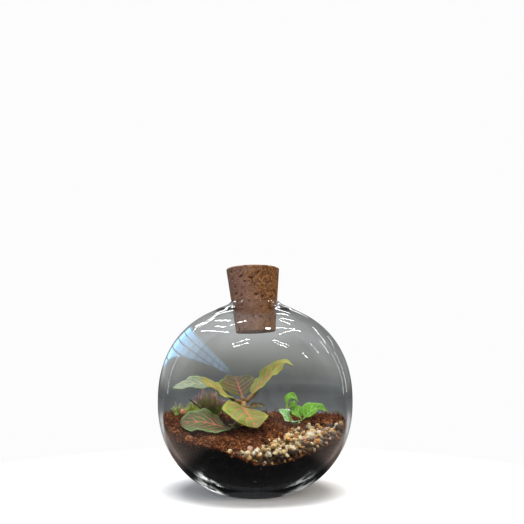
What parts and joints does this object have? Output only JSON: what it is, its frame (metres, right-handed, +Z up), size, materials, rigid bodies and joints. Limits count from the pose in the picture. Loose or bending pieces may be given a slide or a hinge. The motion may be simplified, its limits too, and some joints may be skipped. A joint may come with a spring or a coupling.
{
  "type": "glass plant terrarium",
  "caption": "Closed glass globe with a tapered cork stopper, planted with a pink-veined nerve plant, a small seedling and moss in coir, with gravel at the front.",
  "frame": {"origin": "centre of the globe's flat foot, on the surface that it stands on", "axes": "+Z up along the globe's axis, -Y towards the front where the gravel lies, +X to the right as seen from the front"},
  "size_m": [0.18, 0.18, 0.2091],
  "materials": {
    "clear_glass": "clear, smooth, blown",
    "cork": "matt agglomerated cork, fine pits",
    "black_substrate": "matt, fine grains",
    "coir": "matt, fibrous and crumbly",
    "gravel": "satin, mixed cream, amber and grey stones",
    "bark": "matt, rough",
    "stalk": "satin, slightly hairy",
    "nerve_leaf_light": "satin, light green with pink veins",
    "nerve_leaf_dark": "satin, dark green with pink veins",
    "pale_leaf": "satin, pale and thin",
    "seedling_green": "glossy fresh green",
    "variegated_leaf": "satin, green with whitish margins",
    "needles": "matt olive needles",
    "moss": "matt yellow-green shoots",
    "grass": "matt thin shoots",
    "bud": "satin, orange-pink",
    "twig": "matt dark bark"
  },
  "bodies": {
    "root": {"glass_globe": "clear_glass", "cork_stopper": "cork", "black_substrate": "black_substrate", "coir_topsoil": "coir", "gravel_bed": "gravel", "bark_chip": "bark", "fittonia_stem": "stalk", "fittonia_leaf_upper_right": "nerve_leaf_light", "fittonia_leaf_left": "nerve_leaf_light", "fittonia_leaf_front": "nerve_leaf_light", "fittonia_leaf_back": "nerve_leaf_dark", "fittonia_leaf_low": "nerve_leaf_dark", "fittonia_leaf_small": "nerve_leaf_dark", "fittonia_leaf_pale": "pale_leaf", "fittonia_sprouts": "nerve_leaf_light", "flower_bud": "bud", "bare_twig": "twig", "seedling_stem": "seedling_green", "seedling_leaf_top": "seedling_green", "seedling_leaf_bent": "seedling_green", "seedling_leaf_right": "seedling_green", "seedling_leaf_middle": "seedling_green", "seedling_leaf_variegated": "variegated_leaf", "seedling_leaflets": "variegated_leaf", "heath_tuft": "needles", "moss_tuft": "moss", "grass_tuft": "grass"}
  },
  "joints": []
}
